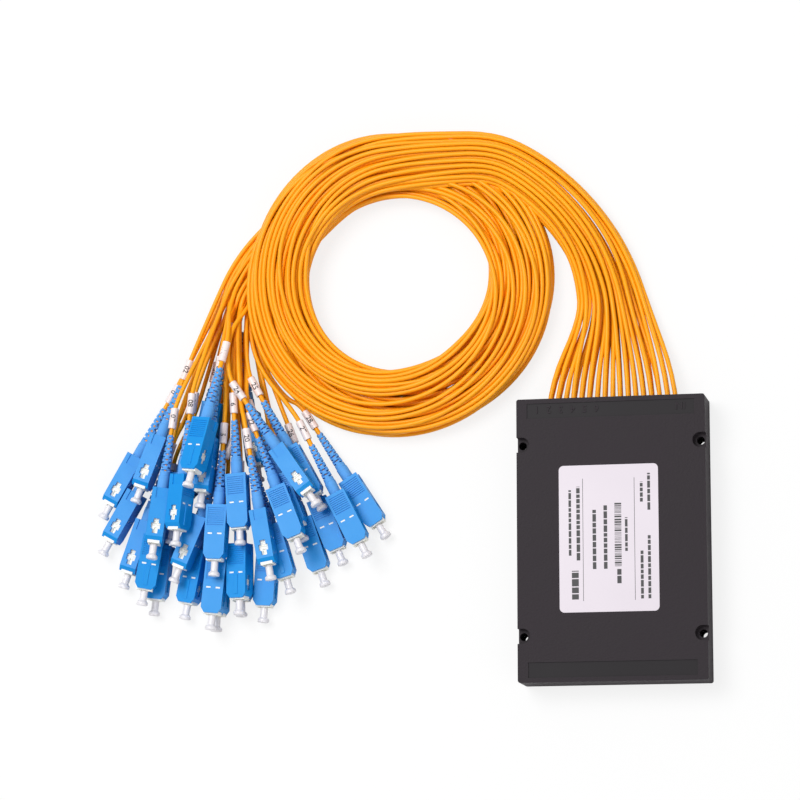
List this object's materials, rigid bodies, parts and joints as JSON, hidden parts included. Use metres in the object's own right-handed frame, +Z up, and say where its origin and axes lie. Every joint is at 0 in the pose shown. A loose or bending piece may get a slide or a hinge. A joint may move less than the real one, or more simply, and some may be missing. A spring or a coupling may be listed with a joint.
{
  "type": "fibre optic splitter",
  "caption": "Flat splitter box with one input and many output cords in a coil, each cord ending in a capped push-pull connector.",
  "frame": {"origin": "middle of the box's underside", "axes": "+Y along the box's length, towards its cord end; +Z up out of the lid"},
  "size_m": [0.2673, 0.2415, 0.0372],
  "materials": {
    "box_shell": "fine moulded grain",
    "label": "printed paper label",
    "steel": "drawn steel tube",
    "filler": "cured adhesive",
    "glass_block": "polished glass",
    "fibre": "bare coated fibre",
    "cord": "smooth yellow jacket",
    "connector_blue": "moulded blue plastic",
    "boot_blue": "soft blue plastic",
    "frame_cream": "moulded cream plastic",
    "ceramic": "white zirconia",
    "cap": "clouded clear plastic",
    "marker": "white number sleeve"
  },
  "bodies": {
    "splitter": {"box_base": "box_shell", "box_lid": "box_shell", "chip_pad": "filler", "cord_coil": "cord", "cord_comb": "box_shell", "cord_leads": "cord", "fan_out_block": "box_shell", "fibre_ribbon": "fibre", "input_boot": "boot_blue", "input_ferrule": "ceramic", "input_fibre": "fibre", "input_fibre_block": "glass_block", "input_marker": "marker", "input_plug_frame": "frame_cream", "label_sticker": "label", "module_case": "steel", "module_input_plug": "filler", "module_output_plug": "filler", "output_boots": "boot_blue", "output_ferrules": "ceramic", "output_fibre_block": "glass_block", "output_markers": "marker", "output_plug_frames": "frame_cream", "output_sleeves": "connector_blue", "waveguide_chip": "glass_block"},
    "input_sleeve": {"input_sleeve": "connector_blue"},
    "dust_cap_01": {"dust_cap_01": "cap"},
    "dust_cap_02": {"dust_cap_02": "cap"},
    "dust_cap_03": {"dust_cap_03": "cap"},
    "dust_cap_04": {"dust_cap_04": "cap"},
    "dust_cap_05": {"dust_cap_05": "cap"},
    "dust_cap_06": {"dust_cap_06": "cap"},
    "dust_cap_07": {"dust_cap_07": "cap"},
    "dust_cap_08": {"dust_cap_08": "cap"},
    "dust_cap_09": {"dust_cap_09": "cap"},
    "dust_cap_10": {"dust_cap_10": "cap"},
    "dust_cap_11": {"dust_cap_11": "cap"},
    "dust_cap_12": {"dust_cap_12": "cap"},
    "dust_cap_13": {"dust_cap_13": "cap"},
    "dust_cap_14": {"dust_cap_14": "cap"},
    "dust_cap_15": {"dust_cap_15": "cap"},
    "dust_cap_16": {"dust_cap_16": "cap"},
    "dust_cap_17": {"dust_cap_17": "cap"},
    "dust_cap_18": {"dust_cap_18": "cap"},
    "dust_cap_19": {"dust_cap_19": "cap"},
    "dust_cap_20": {"dust_cap_20": "cap"},
    "dust_cap_21": {"dust_cap_21": "cap"},
    "dust_cap_22": {"dust_cap_22": "cap"},
    "dust_cap_23": {"dust_cap_23": "cap"},
    "dust_cap_24": {"dust_cap_24": "cap"},
    "dust_cap_25": {"dust_cap_25": "cap"},
    "dust_cap_26": {"dust_cap_26": "cap"},
    "dust_cap_27": {"dust_cap_27": "cap"},
    "dust_cap_28": {"dust_cap_28": "cap"},
    "dust_cap_29": {"dust_cap_29": "cap"},
    "dust_cap_30": {"dust_cap_30": "cap"},
    "dust_cap_31": {"dust_cap_31": "cap"},
    "dust_cap_32": {"dust_cap_32": "cap"},
    "dust_cap_in": {"dust_cap_in": "cap"}
  },
  "joints": [
    {"name": "input_sleeve_slide", "type": "slide", "parent": "splitter", "child": "input_sleeve", "axis": [0.2048, 0.9633, -0.1736], "range_m": [0, 0.0012]},
    {"name": "dust_cap_01_pull", "type": "slide", "parent": "splitter", "child": "dust_cap_01", "axis": [-0.5, -0.866, 0], "range_m": [0, 0.008]},
    {"name": "dust_cap_02_pull", "type": "slide", "parent": "splitter", "child": "dust_cap_02", "axis": [-0.3412, -0.9374, 0.0698], "range_m": [0, 0.008]},
    {"name": "dust_cap_03_pull", "type": "slide", "parent": "splitter", "child": "dust_cap_03", "axis": [-0.5, -0.866, 0], "range_m": [0, 0.008]},
    {"name": "dust_cap_04_pull", "type": "slide", "parent": "splitter", "child": "dust_cap_04", "axis": [-0.3256, -0.9455, 0], "range_m": [0, 0.008]},
    {"name": "dust_cap_05_pull", "type": "slide", "parent": "splitter", "child": "dust_cap_05", "axis": [-0.1736, -0.9848, 0], "range_m": [0, 0.008]},
    {"name": "dust_cap_06_pull", "type": "slide", "parent": "splitter", "child": "dust_cap_06", "axis": [-0.1219, -0.9925, 0], "range_m": [0, 0.008]},
    {"name": "dust_cap_07_pull", "type": "slide", "parent": "splitter", "child": "dust_cap_07", "axis": [-0.1214, -0.9888, 0.0872], "range_m": [0, 0.008]},
    {"name": "dust_cap_08_pull", "type": "slide", "parent": "splitter", "child": "dust_cap_08", "axis": [-0.087, -0.9948, 0.0523], "range_m": [0, 0.008]},
    {"name": "dust_cap_09_pull", "type": "slide", "parent": "splitter", "child": "dust_cap_09", "axis": [-0.1564, -0.9877, 0], "range_m": [0, 0.008]},
    {"name": "dust_cap_10_pull", "type": "slide", "parent": "splitter", "child": "dust_cap_10", "axis": [-0.1218, -0.9919, 0.0349], "range_m": [0, 0.008]},
    {"name": "dust_cap_11_pull", "type": "slide", "parent": "splitter", "child": "dust_cap_11", "axis": [-0.3907, -0.9205, 0], "range_m": [0, 0.008]},
    {"name": "dust_cap_12_pull", "type": "slide", "parent": "splitter", "child": "dust_cap_12", "axis": [-0.1908, -0.9816, 0], "range_m": [0, 0.008]},
    {"name": "dust_cap_13_pull", "type": "slide", "parent": "splitter", "child": "dust_cap_13", "axis": [-0.1045, -0.9945, 0], "range_m": [0, 0.008]},
    {"name": "dust_cap_14_pull", "type": "slide", "parent": "splitter", "child": "dust_cap_14", "axis": [-0.0349, -0.9994, 0], "range_m": [0, 0.008]},
    {"name": "dust_cap_15_pull", "type": "slide", "parent": "splitter", "child": "dust_cap_15", "axis": [-0.0523, -0.998, 0.0349], "range_m": [0, 0.008]},
    {"name": "dust_cap_16_pull", "type": "slide", "parent": "splitter", "child": "dust_cap_16", "axis": [0.0697, -0.9962, 0.0523], "range_m": [0, 0.008]},
    {"name": "dust_cap_17_pull", "type": "slide", "parent": "splitter", "child": "dust_cap_17", "axis": [0, -1, 0], "range_m": [0, 0.008]},
    {"name": "dust_cap_18_pull", "type": "slide", "parent": "splitter", "child": "dust_cap_18", "axis": [0.0175, -0.9998, 0], "range_m": [0, 0.008]},
    {"name": "dust_cap_19_pull", "type": "slide", "parent": "splitter", "child": "dust_cap_19", "axis": [-0.0698, -0.9976, 0], "range_m": [0, 0.008]},
    {"name": "dust_cap_20_pull", "type": "slide", "parent": "splitter", "child": "dust_cap_20", "axis": [0.1736, -0.9848, 0], "range_m": [0, 0.008]},
    {"name": "dust_cap_21_pull", "type": "slide", "parent": "splitter", "child": "dust_cap_21", "axis": [0.2924, -0.9563, 0], "range_m": [0, 0.008]},
    {"name": "dust_cap_22_pull", "type": "slide", "parent": "splitter", "child": "dust_cap_22", "axis": [0.3737, -0.9249, 0.0698], "range_m": [0, 0.008]},
    {"name": "dust_cap_23_pull", "type": "slide", "parent": "splitter", "child": "dust_cap_23", "axis": [0.3256, -0.9455, 0], "range_m": [0, 0.008]},
    {"name": "dust_cap_24_pull", "type": "slide", "parent": "splitter", "child": "dust_cap_24", "axis": [0.5732, -0.8187, 0.0349], "range_m": [0, 0.008]},
    {"name": "dust_cap_25_pull", "type": "slide", "parent": "splitter", "child": "dust_cap_25", "axis": [0.4848, -0.8746, 0], "range_m": [0, 0.008]},
    {"name": "dust_cap_26_pull", "type": "slide", "parent": "splitter", "child": "dust_cap_26", "axis": [0.3746, -0.9272, 0], "range_m": [0, 0.008]},
    {"name": "dust_cap_27_pull", "type": "slide", "parent": "splitter", "child": "dust_cap_27", "axis": [0.454, -0.891, 0], "range_m": [0, 0.008]},
    {"name": "dust_cap_28_pull", "type": "slide", "parent": "splitter", "child": "dust_cap_28", "axis": [0.5446, -0.8387, 0], "range_m": [0, 0.008]},
    {"name": "dust_cap_29_pull", "type": "slide", "parent": "splitter", "child": "dust_cap_29", "axis": [0.1392, -0.9903, 0], "range_m": [0, 0.008]},
    {"name": "dust_cap_30_pull", "type": "slide", "parent": "splitter", "child": "dust_cap_30", "axis": [-0.225, -0.9744, 0], "range_m": [0, 0.008]},
    {"name": "dust_cap_31_pull", "type": "slide", "parent": "splitter", "child": "dust_cap_31", "axis": [0.3746, -0.9272, 0], "range_m": [0, 0.008]},
    {"name": "dust_cap_32_pull", "type": "slide", "parent": "splitter", "child": "dust_cap_32", "axis": [-0.1908, -0.9816, 0], "range_m": [0, 0.008]},
    {"name": "dust_cap_in_pull", "type": "slide", "parent": "splitter", "child": "dust_cap_in", "axis": [-0.2048, -0.9633, 0.1736], "range_m": [0, 0.008]}
  ]
}
